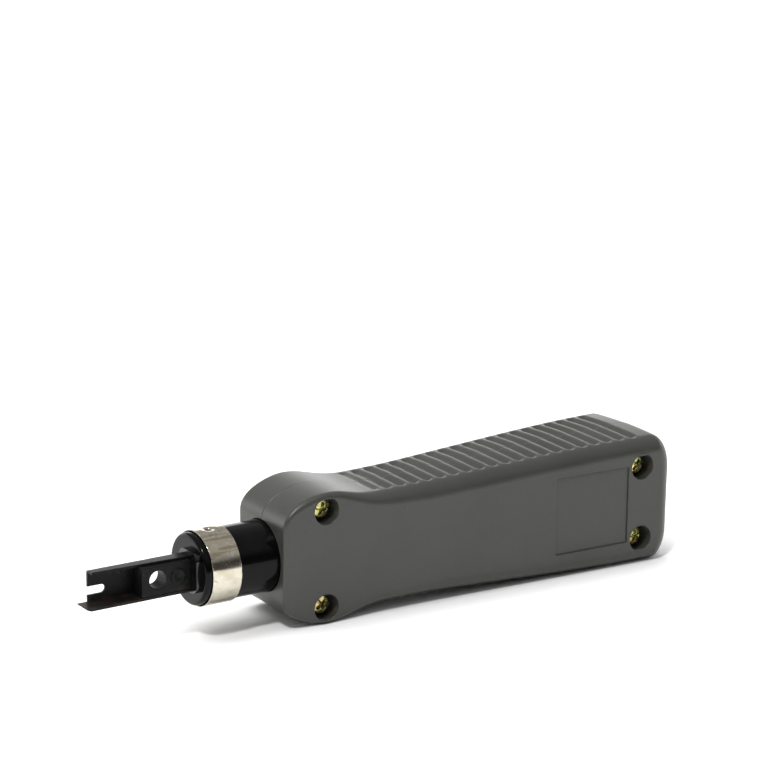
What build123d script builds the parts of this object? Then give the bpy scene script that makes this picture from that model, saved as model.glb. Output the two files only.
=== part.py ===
from build123d import *
import math
import os

# Millimetres. The model is drawn about the tool axis: X runs from the nose plane to the tail,
# Y = 0 is the plane where the two shells meet, and Z = 0 is the axis of the barrel.

# Housing outline, seen along Y
body_length = 107.2
nose_flat = 8.2  # half height of the flat front
bulge_x = 12.0
bulge_half = 15.45
waist_x = 27.0
waist_half = 13.2
tail_start = body_length - 11.2
tail_half = 15.45
tail_corner_x = 4.6
tail_corner_z = 8.0
nose_cheek = 1.7  # plastic left beside the barrel at the front
tail_thickness = 29.7
edge_round = 1.5
side_wall = 2.0
face_wall = 1.6
nose_wall = 3.0

# Grip ribs and the label recess
groove_first = 25.6
groove_last = body_length - 9.6
groove_pitch = 3.6
groove_radius = 1.6
groove_depth = 0.65
groove_margin = 3.2
panel_x = body_length - 33.7
panel_length = 20.5
panel_half = 9.3
panel_depth = 0.35

# Housing screws
nose_screw_x = 10.9
nose_screw_z = 11.4
tail_screw_x = body_length - 9.2
tail_screw_z = 9.0
screw_hole_radius = 3.05
screw_sink = 4.2  # from the broad face down to the seat of the head
screw_head_radius = 2.5
screw_head_height = 1.9
screw_radius = 1.5
nose_screw_length = 12.0
tail_screw_length = 16.0
boss_wall = 1.8
recess_width = 0.75
recess_span = 3.0
recess_depth = 1.1

# Plunger
stroke = 9.5
stop_room = 0.5  # what stays open in front of a stop at the end of the stroke
barrel_radius = 8.3
barrel_lip = 1.6  # barrel left in front of the band
barrel_rear = 6.0
barrel_edge = 0.8
neck_radius = 5.5
neck_flat = 4.6
neck_tail = 1.75
band_width = 7.3
band_thickness = 0.4
band_slit = 1.2
dimple_radius = 1.6
dimple_depth = 0.25
detent_radius = 1.0
socket_radius = 6.4
socket_depth = 15.0
collar_thickness = 1.2
collar_width = 8.0
collar_height = 9.6
collar_y = -2.0
collar_z = 0.5
rod_radius = 3.0
rod_start = 2.0
rod_tip_radius = 1.2
rod_tip_length = 8.5
rod_pin_radius = 1.2
rod_pin_x = 10.5
ring_thickness = 1.2
ring_radius = 7.5
ring_groove = 0.8
return_wire = 0.8
return_pitch = 2.1
return_length = 10.0

# Blade, its lengths along X measured from the barrel's front
cutter_length = 26.7
prong_length = 24.3
sheet = 0.6
sheet_bend = 0.3
web_y = 1.3  # inner face of the web
web_top = 3.9
flange_z = -3.5  # top face of the cutter
flange_y = -3.1
lip_depth_tip = 2.1
lip_depth_base = 3.1
slot_width = 2.0
slot_depth = 4.3
slot_z = -0.94
cutter_bevel = 1.0
cutter_edge = 0.15  # thickness left at the cutting edge
blade_end_gap = 0.1
shank_length = 13.2
shank_depth = 10.9  # how far the block reaches into the barrel
shank_y = -3.0
shank_low = -3.5
shank_high = web_top - sheet
shank_notch = 0.4
eye_radius = 2.1
eye_length = 9.15
eye_z = 0.1
eye_relief = 0.7  # how much larger the eye is in the web
rivet_length = 4.15
rivet_z = 0.1
rivet_radius = 1.1
rivet_head_radius = 1.9
rivet_head_height = 0.35

# Hammer, its trip plate and the springs
hammer_mouth = 5.0  # from the hammer's face to the plate's pocket
hammer_length = 27.0
hammer_radius = 8.0
hammer_flat = 7.3
hammer_bore_end = 3.0  # solid metal behind the bore
spigot_length = 2.0
plate_thickness = 3.0
plate_side = 1.3  # metal beside the plate's hole
plate_head_half = 2.5
plate_shift = 1.7  # how far the trip plate must sink to line its hole up with the rod
plate_foot = 3.4  # metal under the plate's hole
plate_shoulder = 6.6
plate_top = 10.3
trip_length = 4.6
trip_wire = 0.35
trip_radius = 1.0
trip_pitch = 0.8
trip_hole_depth = 2.5
main_wire = 1.6
main_radius = 5.9
main_pitch = 3.7
seat_x = body_length - 14.2
seat_thickness = 1.6
seat_half = 9.0

# Inside of the shells
bulkhead = 2.5
bumper_thickness = 1.5
bumper_radius = 8.2
rib = 1.8
rib_lead = 1.5
rib_spacing = 11.0
plate_run = 2.4
rail_width = 1.4
rail_drop = 1.6
ramp_half = 3.0

# Clearances
running = 0.1  # radial, between pieces that slide
line_fit = 0.02  # between pieces that stay together
rest_gap = 0.05  # where a moving piece stops against a fixed one
spring_room = 0.4  # radial, between a spring and the pin inside it
hole_room = 0.2  # radial, where the rod passes the trip plate

# Stations along X, from the nose to the tail
band_rear = stroke + stop_room
barrel_front = band_rear + band_width + barrel_lip
cutter_reach = barrel_front + cutter_length
prong_reach = barrel_front + prong_length
shank_front = barrel_front + shank_length
shank_back = barrel_front - shank_depth
eye_x = -barrel_front - eye_length
rivet_x = -barrel_front - rivet_length
bulkhead_x = barrel_rear + stroke + stop_room
ring_x = bulkhead_x + bulkhead + bumper_thickness + rest_gap
neck_end = ring_x + ring_thickness + neck_tail
hammer_front = neck_end + return_length
hammer_end = hammer_front + hammer_length
rod_shoulder = hammer_front + hammer_mouth
plate_x = rod_shoulder + running
second_rib = plate_x + plate_thickness + stroke + plate_run
rib_places = (hammer_front + rib_lead, second_rib, second_rib + rib_spacing)

# Sizes that follow from the pieces they fit
return_radius = rod_radius + spring_room + return_wire / 2 + hole_room
spigot_radius = main_radius - main_wire / 2 - spring_room
plate_hole_radius = rod_radius + hole_room
plate_half = plate_hole_radius + plate_side
plate_low = plate_shift - plate_hole_radius - plate_foot
trip_hole_radius = trip_radius + trip_wire / 2 + hole_room
pocket_floor = plate_low + trip_hole_depth - trip_length
nose_thickness = 2 * (barrel_radius + running + nose_cheek)
face_slope = (tail_thickness - nose_thickness) / 2 / body_length
origin_x = (body_length - cutter_reach) / 2
rest_height = max(bulge_half, tail_half)


def face_y(x):
    return nose_thickness / 2 + face_slope * x


def block(x0, x1, y0, y1, z0, z1):
    middle = Pos((x0 + x1) / 2, (y0 + y1) / 2, (z0 + z1) / 2)
    return middle * Box(x1 - x0, y1 - y0, z1 - z0)


def bar(x0, x1, radius, z=0.0):
    """A round bar along X."""
    return Pos((x0 + x1) / 2, 0, z) * Rot(0, 90, 0) * Cylinder(radius, x1 - x0)


def pin_y(x, z, y0, y1, radius):
    """A round bar along Y."""
    return Pos(x, (y0 + y1) / 2, z) * Rot(90, 0, 0) * Cylinder(radius, y1 - y0)


def pin_z(x, z0, z1, radius):
    """A round bar along Z on the tool axis."""
    return Pos(x, 0, (z0 + z1) / 2) * Cylinder(radius, z1 - z0)


def coil(x0, x1, radius, wire, pitch):
    """A compression spring along X whose ends just reach x0 and x1."""
    height = x1 - x0 - wire
    path = Helix(pitch=pitch, height=height, radius=radius)
    start = Plane(origin=path @ 0, z_dir=path % 0)
    spring = sweep(start * Circle(wire / 2), path=path)
    return Pos(x0 + wire / 2, 0, 0) * Rot(0, 90, 0) * spring


def easing(x0, z0, x1, z1, early, late):
    """A smooth step between two places where the outline runs straight along X."""
    reach = x1 - x0
    return Bezier((x0, z0), (x0 + early * reach, z0), (x1 - late * reach, z1), (x1, z1))


def side_line(inset=0):
    """The upper long side of the outline, from the front flat to the tail corner."""
    bulge, waist, tail = bulge_half - inset, waist_half - inset, tail_half - inset
    nose = EllipticalCenterArc(
        (bulge_x, nose_flat), bulge_x - inset, bulge - nose_flat, 90, arc_size=90
    )
    saddle = easing(bulge_x, bulge, waist_x, waist, 0.33, 0.47)
    grip = easing(waist_x, waist, tail_start, tail, 0.26, 0.30)
    return nose + saddle + grip


def side_height(x):
    line = Wire(side_line().edges())
    backwards = (line @ 0).X > (line @ 1).X
    low, high = 0.0, 1.0
    while high - low > 1e-6:
        middle = (low + high) / 2
        if ((line @ middle).X < x) == backwards:
            high = middle
        else:
            low = middle
    return (line @ low).Y


def outline(inset=0):
    """The broad face as a flat shape in X and Z, or the same shape moved in by a wall."""
    start, end = inset, body_length - inset
    corner_x, corner_z = tail_corner_x - inset, tail_corner_z - inset
    tail = tail_half - inset
    lead = Line((tail_start, tail), (end - corner_x, tail))
    corner = EllipticalCenterArc(
        (end - corner_x, tail - corner_z), corner_x, corner_z, 0, arc_size=90
    )
    upper = side_line(inset) + lead + corner
    back = Line((end, tail - corner_z), (end, corner_z - tail))
    front = Line((start, nose_flat), (start, -nose_flat))
    return make_face(upper + mirror(upper, about=Plane.XZ) + back + front)


def slab(flat, half):
    """The flat shape stood up in XZ and made thick both ways along Y."""
    return Rot(90, 0, 0) * extrude(flat, amount=half, both=True)


def wedge(inset):
    """Everything between the two broad faces, moved in by inset."""
    reach = 5.0
    end = body_length + reach
    points = (
        (-reach, face_y(-reach) - inset),
        (end, face_y(end) - inset),
        (end, inset - face_y(end)),
        (-reach, inset - face_y(-reach)),
    )
    return extrude(make_face(Polyline(*points, close=True)), amount=2 * tail_half, both=True)


def solid_body():
    body = slab(outline(), tail_thickness) & wedge(0)
    faces = body.faces().filter_by(lambda f: abs(f.normal_at().Y) > 0.9)
    return fillet(faces.edges(), edge_round)


def cavity():
    inner = slab(outline(side_wall), tail_thickness) & wedge(face_wall)
    return inner & block(nose_wall, body_length, -50, 50, -50, 50)


def screw_posts():
    """Each housing screw as its X, Z and length."""
    nose = [(nose_screw_x, side * nose_screw_z, nose_screw_length) for side in (1, -1)]
    tail = [(tail_screw_x, side * tail_screw_z, tail_screw_length) for side in (1, -1)]
    return nose + tail


def seat_y(x):
    return screw_sink - face_y(x)


def neck_bore(clearance):
    """The round neck with two flats that keep the barrel from turning."""
    flat = neck_flat + clearance
    wide = 2 * neck_radius
    return bar(0, hammer_front, neck_radius + clearance) & block(0, hammer_front, -wide, wide, -flat, flat)


def seat_block(gap):
    half = seat_half + gap
    return block(seat_x - gap, seat_x + seat_thickness + gap, -half, half, -half, half)


def ceiling():
    return side_height(rib_places[0] + rib) - side_wall


def ramp_height(x):
    """The underside of the trip ramp over the place x."""
    return plate_top + rest_gap - (x - plate_x) * plate_shift / stroke


def inner_walls():
    """Everything moulded inside the shells: bulkhead, guide ribs, rails, bosses and seat slot."""
    inside = cavity()
    rear_rib = seat_x + seat_thickness
    walls = [inside & block(bulkhead_x, bulkhead_x + bulkhead, -50, 50, -50, 50)]
    walls += [inside & block(x, x + rib, -50, 50, -50, 50) for x in rib_places]
    walls += [inside & block(seat_x - rib, rear_rib + rib, -50, 50, -50, 50)]
    rail_y = ramp_half + line_fit
    for side in (1, -1):
        y0, y1 = sorted((side * rail_y, side * (rail_y + rail_width)))
        rail = block(rib_places[0], rib_places[1], y0, y1, ceiling() - rail_drop, 50)
        walls.append(inside & rail)
    for x, z, _ in screw_posts():
        walls.append(inside & pin_y(x, z, -50, 50, screw_hole_radius + boss_wall))
    solid = walls[0]
    for wall in walls[1:]:
        solid += wall
    solid -= neck_bore(running)
    lift = rib_places[0]
    solid -= bar(lift - 1, seat_x - rib, hammer_radius + running)
    solid -= bar(seat_x - rib, seat_x, main_radius + main_wire)
    solid -= bar(seat_x, rear_rib + rib, spigot_radius)
    solid -= seat_block(line_fit)
    return solid


def grooves(side):
    """The grip grooves of one shell, on both of its long edges."""
    cuts = []
    count = round((groove_last - groove_first) / groove_pitch) + 1
    for k in range(count):
        x = groove_first + k * groove_pitch
        reach = face_y(x) - groove_margin - groove_radius
        depth = side_height(x) + groove_radius - groove_depth
        for edge in (1, -1):
            ends = sorted((0, side * reach))
            trough = pin_y(x, edge * depth, ends[0], ends[1], groove_radius)
            cuts.append(trough + Pos(x, side * reach, edge * depth) * Sphere(groove_radius))
    return cuts


def shell(side):
    """One half of the housing: side -1 carries the screw heads, side 1 the blind holes."""
    body = solid_body() - cavity() + inner_walls()
    body -= bar(-1, bulkhead_x, barrel_radius + running)
    half = block(-1, body_length + 1, *sorted((0, side * tail_thickness)), -50, 50)
    body &= half
    for x, z, length in screw_posts():
        if side < 0:
            body -= pin_y(x, z, -50, seat_y(x), screw_hole_radius)
            body -= pin_y(x, z, seat_y(x) - 1, 1, screw_radius + running)
        else:
            body -= pin_y(x, z, -1, seat_y(x) + length + rest_gap, screw_radius + line_fit)
    for cut in grooves(side):
        body -= cut
    return body


def front_shell():
    body = shell(-1)
    tilt = math.degrees(math.atan(face_slope))
    middle = panel_x + panel_length / 2
    recess = Box(panel_length, 2 * panel_depth, 2 * panel_half)
    return body - Pos(middle, -face_y(middle), 0) * Rot(0, 0, -tilt) * recess


def screw(x, z, length):
    seat = seat_y(x)
    top = seat - screw_head_height
    head = pin_y(x, z, top, seat, screw_head_radius)
    head = fillet(head.edges().sort_by(Axis.Y)[0], screw_head_height * 0.55)
    shank = pin_y(x, z, seat, seat + length, screw_radius)
    shank = chamfer(shank.edges().sort_by(Axis.Y)[-1], screw_radius * 0.5)
    long, wide = recess_span / 2, recess_width / 2
    low, high = top - 1, top + recess_depth
    cross = block(x - long, x + long, low, high, z - wide, z + wide)
    cross += block(x - wide, x + wide, low, high, z - long, z + long)
    return head + shank - cross


def screw_pair(x, z, length):
    return Compound([screw(x, z, length), screw(x, -z, length)])


def bumper():
    start = bulkhead_x + bulkhead
    return bar(start, start + bumper_thickness, bumper_radius) - neck_bore(2 * running)


def spring_seat():
    plate = seat_block(0)
    return plate + bar(seat_x - spigot_length, seat_x, spigot_radius - running)


def trip_ramp():
    """A steel wedge under the top wall; its sloping face pushes the trip plate down."""
    x0 = rib_places[0] + rib
    x1 = rib_places[1]
    level = plate_x + plate_thickness + stroke
    points = (
        (x0, ceiling()),
        (x1, ceiling()),
        (x1, ramp_height(level)),
        (level, ramp_height(level)),
        (x0, ramp_height(x0)),
    )
    return slab(make_face(Polyline(*points, close=True)), ramp_half)


def barrel():
    front = bar(-barrel_front, barrel_rear, barrel_radius)
    front = fillet(front.edges().sort_by(Axis.X)[0], barrel_edge)
    neck = neck_bore(0) & block(0, neck_end, -20, 20, -20, 20)
    body = front + neck
    body -= bar(-barrel_front - 1, socket_depth - barrel_front, socket_radius + line_fit)
    body -= bar(rod_start, neck_end + 1, rod_radius + line_fit)
    groove = bar(ring_x - line_fit, ring_x + ring_thickness + line_fit, 20)
    groove -= bar(ring_x - 1, ring_x + ring_thickness + 1, neck_radius - ring_groove)
    body -= groove
    body -= pin_z(rod_pin_x, -20, 20, rod_pin_radius + line_fit)
    return body - pin_z(-band_rear - band_width / 2, 0, 20, detent_radius + line_fit)


def detent_band():
    """A split spring band with a dimple that carries the detent pin."""
    x0, x1 = -band_rear - band_width, -band_rear
    outer = barrel_radius + line_fit + band_thickness
    middle = (x0 + x1) / 2
    ring = bar(x0, x1, outer) - bar(x0 - 1, x1 + 1, barrel_radius + line_fit)
    ring -= Pos(middle, 0, -outer) * Box(band_width + 1, band_slit, 2 * outer - barrel_radius)
    ring -= Pos(middle, 0, outer + dimple_radius - dimple_depth) * Sphere(dimple_radius)
    return ring - pin_z(middle, 0, 20, detent_radius + line_fit)


def detent_pin():
    """The pin in the band's dimple that holds the blade from above."""
    low = shank_high + running
    return pin_z(-band_rear - band_width / 2, low, barrel_radius + band_thickness / 2, detent_radius)


def shank_space(gap):
    return block(
        -barrel_front - 5, -shank_back + gap,
        shank_y - gap, web_y + gap,
        shank_low - gap, shank_high + gap,
    )


def blade_socket():
    """The insert that holds the blade, with its collar in front of the barrel."""
    body = bar(-barrel_front, socket_depth - barrel_front, socket_radius)
    face = Plane(origin=(-barrel_front, collar_y, collar_z), x_dir=(0, 1, 0), z_dir=(-1, 0, 0))
    collar = extrude(face * RectangleRounded(collar_width, collar_height, 2.2), collar_thickness)
    collar = fillet(collar.edges().group_by(Axis.X)[0], 0.4)
    body += collar
    body -= shank_space(running)
    return body - pin_z(-band_rear - band_width / 2, 0, 20, detent_radius + line_fit)


def push_rod():
    stem = bar(rod_start, rod_shoulder, rod_radius)
    tip = bar(rod_shoulder, rod_shoulder + rod_tip_length, rod_tip_radius)
    tip = chamfer(tip.edges().sort_by(Axis.X)[-1], rod_tip_radius * 0.4)
    return stem + tip - pin_z(rod_pin_x, -20, 20, rod_pin_radius + line_fit)


def rod_pin():
    return pin_z(rod_pin_x, -neck_flat, neck_flat, rod_pin_radius)


def retaining_ring():
    """An open ring in the neck's groove that stops the plunger at the bumper."""
    ring = bar(ring_x, ring_x + ring_thickness, ring_radius)
    ring -= bar(ring_x - 1, ring_x + ring_thickness + 1, neck_radius - ring_groove + line_fit)
    return ring - block(ring_x - 1, ring_x + 2, -2, 2, -20, 0)


def return_spring():
    return coil(neck_end, hammer_front, return_radius, return_wire, return_pitch)


def blade_sheet():
    """The channel of sheet steel: web, cutter flange below and curled lip above."""
    back = -barrel_front - collar_thickness - blade_end_gap
    outer = web_y + sheet
    lip_base = web_y - lip_depth_base
    section = make_face(Polyline(
        (outer, web_top),
        (lip_base, web_top),
        (lip_base, web_top - sheet),
        (web_y, web_top - sheet),
        (web_y, flange_z),
        (flange_y, flange_z),
        (flange_y, flange_z - sheet),
        (outer, flange_z - sheet),
        close=True,
    ))
    bends = section.vertices().group_by(Axis.X)[-1]
    section = fillet(bends, sheet + sheet_bend)
    face = Plane(origin=(-cutter_reach, 0, 0), x_dir=(0, 1, 0), z_dir=(1, 0, 0))
    body = extrude(face * section, back + cutter_reach)
    body -= block(-cutter_reach - 1, -prong_reach, -20, 20, flange_z, 20)
    taper = Polyline(
        (-prong_reach, web_y - lip_depth_tip),
        (back, lip_base),
        (back, lip_base - 5),
        (-prong_reach, lip_base - 5),
        close=True,
    )
    body -= Pos(0, 0, web_top - 2 * sheet) * extrude(make_face(taper), amount=3 * sheet)
    low = flange_z - sheet
    bevel = Polyline(
        (-cutter_reach, flange_z - cutter_edge),
        (cutter_bevel - cutter_reach, low),
        (-cutter_reach, low - sheet),
        (-cutter_reach - sheet, low),
        close=True,
    )
    body -= slab(make_face(bevel), 20)
    slot_end = slot_depth - slot_width / 2 - prong_reach
    slot_low = slot_z - slot_width / 2
    slot = block(-prong_reach - 1, slot_end, -20, 20, slot_low, slot_low + slot_width)
    body -= slot + pin_y(slot_end, slot_z, -20, 20, slot_width / 2)
    body -= pin_y(eye_x, eye_z, -20, 20, eye_radius + eye_relief)
    return body - pin_y(rivet_x, rivet_z, -20, 20, rivet_radius + line_fit)


def blade_shank():
    """The solid block inside the channel whose rear end sits in the socket."""
    body = block(-shank_front, -shank_back, shank_y, web_y, shank_low, shank_high)
    notch_x = -band_rear - band_width / 2
    body -= Pos(notch_x, 0, shank_high + 2 * detent_radius - shank_notch) * Sphere(2 * detent_radius)
    body -= pin_y(eye_x, eye_z, -20, 20, eye_radius)
    return body - pin_y(rivet_x, rivet_z, -20, 20, rivet_radius + line_fit)


def blade_rivet():
    head = pin_y(rivet_x, rivet_z, shank_y - rivet_head_height, shank_y, rivet_head_radius)
    head = chamfer(head.edges().sort_by(Axis.Y)[0], rivet_head_height * 0.5)
    return head + pin_y(rivet_x, rivet_z, shank_y, web_y + sheet, rivet_radius)


def plate_pocket():
    x0, x1 = rod_shoulder, rod_shoulder + plate_thickness + 2 * running
    half = plate_half + running
    return block(x0, x1, -half, half, pocket_floor, 20)


def hammer():
    end = hammer_end
    body = bar(hammer_front, end, hammer_radius)
    body = chamfer(body.edges().filter_by(GeomType.CIRCLE), 0.6)
    body += bar(end, end + spigot_length, spigot_radius - running)
    body -= block(hammer_front - 1, end + spigot_length + 1, -20, 20, hammer_flat, 20)
    body -= bar(hammer_front - 1, rod_shoulder, rod_radius + running)
    body -= bar(rod_shoulder, end - hammer_bore_end, plate_hole_radius)
    return body - plate_pocket()


def trip_plate():
    """The sliding plate in the hammer, with its hole off the rod's axis while the tool rests."""
    x0, x1 = plate_x, plate_x + plate_thickness
    body = block(x0, x1, -plate_half, plate_half, plate_low, plate_shoulder)
    body += block(x0, x1, -plate_head_half, plate_head_half, plate_shoulder, plate_top + 1)
    top = (
        (x0 - 1, ramp_height(x0 - 1) - rest_gap),
        (x1 + 1, ramp_height(x1 + 1) - rest_gap),
        (x1 + 1, plate_top + 5),
        (x0 - 1, plate_top + 5),
    )
    body -= slab(make_face(Polyline(*top, close=True)), 20)
    body -= bar(x0 - 1, x1 + 1, plate_hole_radius, z=plate_shift)
    return body - pin_z((x0 + x1) / 2, plate_low - 1, plate_low + trip_hole_depth, trip_hole_radius)


def trip_spring():
    high = pocket_floor + trip_length
    spring = coil(pocket_floor, high, trip_radius, trip_wire, trip_pitch)
    return Pos(plate_x + plate_thickness / 2, 0, 0) * Rot(0, -90, 0) * spring


def main_spring():
    return coil(hammer_end, seat_x, main_radius, main_wire, main_pitch)


def nodes():
    return {
        "front_shell": front_shell(),
        "rear_shell": shell(1),
        "nose_screws": screw_pair(nose_screw_x, nose_screw_z, nose_screw_length),
        "tail_screws": screw_pair(tail_screw_x, tail_screw_z, tail_screw_length),
        "bumper": bumper(),
        "spring_seat": spring_seat(),
        "trip_ramp": trip_ramp(),
        "barrel": barrel(),
        "blade_socket": blade_socket(),
        "detent_band": detent_band(),
        "detent_pin": detent_pin(),
        "push_rod": push_rod(),
        "rod_pin": rod_pin(),
        "retaining_ring": retaining_ring(),
        "return_spring": return_spring(),
        "blade_sheet": blade_sheet(),
        "blade_shank": blade_shank(),
        "blade_rivet": blade_rivet(),
        "hammer": hammer(),
        "main_spring": main_spring(),
        "trip_plate": trip_plate(),
        "trip_spring": trip_spring(),
    }


def main():
    os.makedirs("parts", exist_ok=True)
    for name, shape in nodes().items():
        export_step(Pos(-origin_x, 0, rest_height) * shape, f"parts/{name}.step")


main()
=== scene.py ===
import math
import random

import bpy
import numpy as np
from mathutils import Matrix, Vector
from mathutils.geometry import delaunay_2d_cdt


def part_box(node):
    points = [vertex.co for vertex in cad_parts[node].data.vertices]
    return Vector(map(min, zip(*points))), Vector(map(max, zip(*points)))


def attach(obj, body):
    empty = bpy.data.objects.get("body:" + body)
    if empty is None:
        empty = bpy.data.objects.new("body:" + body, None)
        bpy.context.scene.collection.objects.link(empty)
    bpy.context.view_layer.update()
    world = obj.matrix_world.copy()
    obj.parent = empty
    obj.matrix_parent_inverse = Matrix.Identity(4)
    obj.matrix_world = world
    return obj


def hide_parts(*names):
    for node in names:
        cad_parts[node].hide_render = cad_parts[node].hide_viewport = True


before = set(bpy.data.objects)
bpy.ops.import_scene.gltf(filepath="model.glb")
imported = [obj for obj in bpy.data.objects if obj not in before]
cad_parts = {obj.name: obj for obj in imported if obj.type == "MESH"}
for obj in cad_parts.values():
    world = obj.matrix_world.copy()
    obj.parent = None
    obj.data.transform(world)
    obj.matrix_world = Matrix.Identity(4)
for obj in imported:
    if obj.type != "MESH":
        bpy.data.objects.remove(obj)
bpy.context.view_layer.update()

# Shapes are drawn in millimetres about the tool axis: X from the nose plane to the tail, the
# shells meet at Y = 0, and Z = 0 is the axis of the barrel. This is where that frame lies.
shellLow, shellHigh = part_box("front_shell")
origin = np.array([shellLow.x, 0.0, (shellLow.z + shellHigh.z) / 2])
bodyLength = (shellHigh.x - shellLow.x) * 1000
halfHeight = (shellHigh.z - shellLow.z) * 500


def local(node):
    low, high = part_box(node)
    return (np.array(low) - origin) * 1000, (np.array(high) - origin) * 1000


# A shader socket that takes Python operators
class Wire:
    def __init__(self, board, socket):
        self.board = board
        self.socket = socket

    def math(self, operation, a, b=0.0):
        return self.board.node("ShaderNodeMath", {"operation": operation}, {0: a, 1: b})

    def __add__(self, other):
        return self.math("ADD", self, other)

    def __radd__(self, other):
        return self.math("ADD", other, self)

    def __sub__(self, other):
        return self.math("SUBTRACT", self, other)

    def __rsub__(self, other):
        return self.math("SUBTRACT", other, self)

    def __mul__(self, other):
        return self.math("MULTIPLY", self, other)

    def __rmul__(self, other):
        return self.math("MULTIPLY", other, self)

    # 0 below low, 1 above high, smooth between
    def step(self, low, high):
        settings = {"interpolation_type": "SMOOTHSTEP"}
        return self.board.node("ShaderNodeMapRange", settings, {0: self, 1: low, 2: high})

    def absolute(self):
        return self.math("ABSOLUTE", self)


# One material's nodes, or the world's
class Board:
    def __init__(self, name, tree=None):
        if tree is None:
            self.material = bpy.data.materials.new(name)
            self.material.use_nodes = True
            tree = self.material.node_tree
            self.shader = tree.nodes["Principled BSDF"]
        self.tree = tree

    def feed(self, socket, value):
        if isinstance(value, Wire):
            self.tree.links.new(value.socket, socket)
        else:
            socket.default_value = value

    def node(self, kind, settings=None, values=None, out=0):
        made = self.tree.nodes.new(kind)
        for key, value in (settings or {}).items():
            setattr(made, key, value)
        for key, value in (values or {}).items():
            self.feed(made.inputs[key], value)
        return Wire(self, made.outputs[out])

    # Object coordinates in millimetres
    def place(self):
        spot = self.node("ShaderNodeTexCoord", out=3)
        values = {0: spot, 1: tuple(-v for v in origin)}
        moved = self.node("ShaderNodeVectorMath", {"operation": "ADD"}, values)
        return self.scaled(moved, (1000, 1000, 1000))

    def scaled(self, vector, amount):
        settings = {"operation": "MULTIPLY"}
        return self.node("ShaderNodeVectorMath", settings, {0: vector, 1: amount})

    def parts(self, vector):
        split = self.node("ShaderNodeSeparateXYZ", None, {0: vector})
        return [Wire(self, out) for out in split.socket.node.outputs]

    def noise(self, vector, scale, detail=3.0, rough=0.5):
        values = {"Vector": vector, "Scale": scale, "Detail": detail, "Roughness": rough}
        return self.node("ShaderNodeTexNoise", None, values)

    def cells(self, vector, scale):
        return self.node("ShaderNodeTexVoronoi", None, {"Vector": vector, "Scale": scale})

    def blend(self, share, a, b):
        values = {0: share, 6: (*a, 1.0) if isinstance(a, tuple) else a}
        values[7] = (*b, 1.0) if isinstance(b, tuple) else b
        return self.node("ShaderNodeMix", {"data_type": "RGBA"}, values, 2)

    def bump(self, height, distance, strength=1.0):
        values = {"Strength": strength, "Distance": distance, "Height": height}
        return self.node("ShaderNodeBump", None, values)

    def paint(self, **values):
        for key, value in values.items():
            key = key.replace("_", " ")
            if isinstance(value, tuple) and len(value) == 3:
                value = (*value, 1.0)
            self.feed(self.shader.inputs[key], value)
        return self.material


# Base colours in pairs, darker first, with the mean roughness of each finish
finishes = {
    "housingPlastic": {
        "base": ((0.03483, 0.035862, 0.031132), (0.04386, 0.044892, 0.039388)),
        "speck": (0.24, 0.24, 0.22),
        "roughness": 0.35,
        "gloss": 0.44,
    },
    "barrelPlastic": {
        "base": ((0.0009, 0.0009, 0.0010), (0.0019, 0.0019, 0.0021)),
        "roughness": 0.13,
        "gloss": 0.13,
    },
    "rubber": {
        "base": ((0.010, 0.010, 0.011), (0.021, 0.021, 0.022)),
        "low": 0.3,
        "grain": (4.0, 4.0),
        "roughness": 0.55,
        "vary": 0.2,
        "relief": (0.00005, 0.4),
    },
    "collarPlastic": {
        "base": ((0.0020, 0.0020, 0.0022), (0.0042, 0.0042, 0.0044)),
        "low": 0.3,
        "grain": (1.4, 3.0),
        "roughness": 0.08,
        "vary": 0.10,
        "relief": (0.00004, 0.3),
    },
    "nickel": {
        "base": ((0.49, 0.445, 0.35), (0.62, 0.585, 0.49)),
        "warmPatches": (0.24, 0.19, 0.14),
        "brown": (0.27, 0.22, 0.14),
        "scuff": (0.80, 0.77, 0.70),
        "roughness": 0.13,
    },
    "oxide": {
        "cool": ((0.0042, 0.0046, 0.0043), (0.0086, 0.0092, 0.0086)),
        "warm": ((0.0140, 0.0088, 0.0068), (0.024, 0.0165, 0.0130)),
        "rub": (0.05, 0.049, 0.045),
        "roughness": 0.34,
        "gloss": 0.14,
    },
    "zinc": {
        "gold": (0.66, 0.52, 0.22),
        "green": (0.34, 0.40, 0.15),
        "red": (0.42, 0.22, 0.14),
        "roughness": 0.14,
    },
    "steel": {"base": ((0.45, 0.45, 0.45), (0.60, 0.60, 0.61)), "roughness": 0.24},
    "wire": {
        "base": ((0.20, 0.20, 0.21), (0.34, 0.34, 0.35)),
        "low": 0.35,
        "grain": (2.5, 4.0),
        "roughness": 0.26,
        "vary": 0.2,
        "relief": (0.00004, 0.3),
    },
}


def begin(name):
    board = Board(name)
    return board, board.place(), finishes[name]


# Grain that shows in colour, roughness and relief
def grainy(name, **more):
    board, spot, finish = begin(name)
    grain = board.noise(spot, *finish["grain"])
    base = board.blend(grain.step(finish["low"], 1 - finish["low"]), *finish["base"])
    roughness = finish["roughness"] + grain * finish["vary"]
    normal = board.bump(grain, *finish["relief"])
    return board.paint(Base_Color=base, Roughness=roughness, Normal=normal, **more)


# Satin grey with fine grain, slow clouds and a few pale specks
def housingPlastic():
    board, spot, finish = begin("housingPlastic")
    grain = board.noise(spot, 3.2, 3.0)
    cloud = board.noise(spot, 0.07, 2.0)
    specks = board.cells(spot, 0.55).step(0.055, 0.035)
    mark = specks * board.noise(spot, 0.21, 1.0).step(0.56, 0.62) * 0.35
    base = board.blend((grain * 0.5 + cloud * 0.5).step(0.35, 0.65), *finish["base"])
    base = board.blend(mark, base, finish["speck"])
    roughness = finish["roughness"] + (cloud - 0.5) * 0.10 + (grain - 0.5) * 0.12
    normal = board.bump(board.noise(spot, 5.5, 2.0, 0.6), 0.00006, 0.32)
    board.paint(Base_Color=base, Roughness=roughness, Normal=normal)
    return board.paint(Specular_IOR_Level=finish["gloss"])


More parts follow.
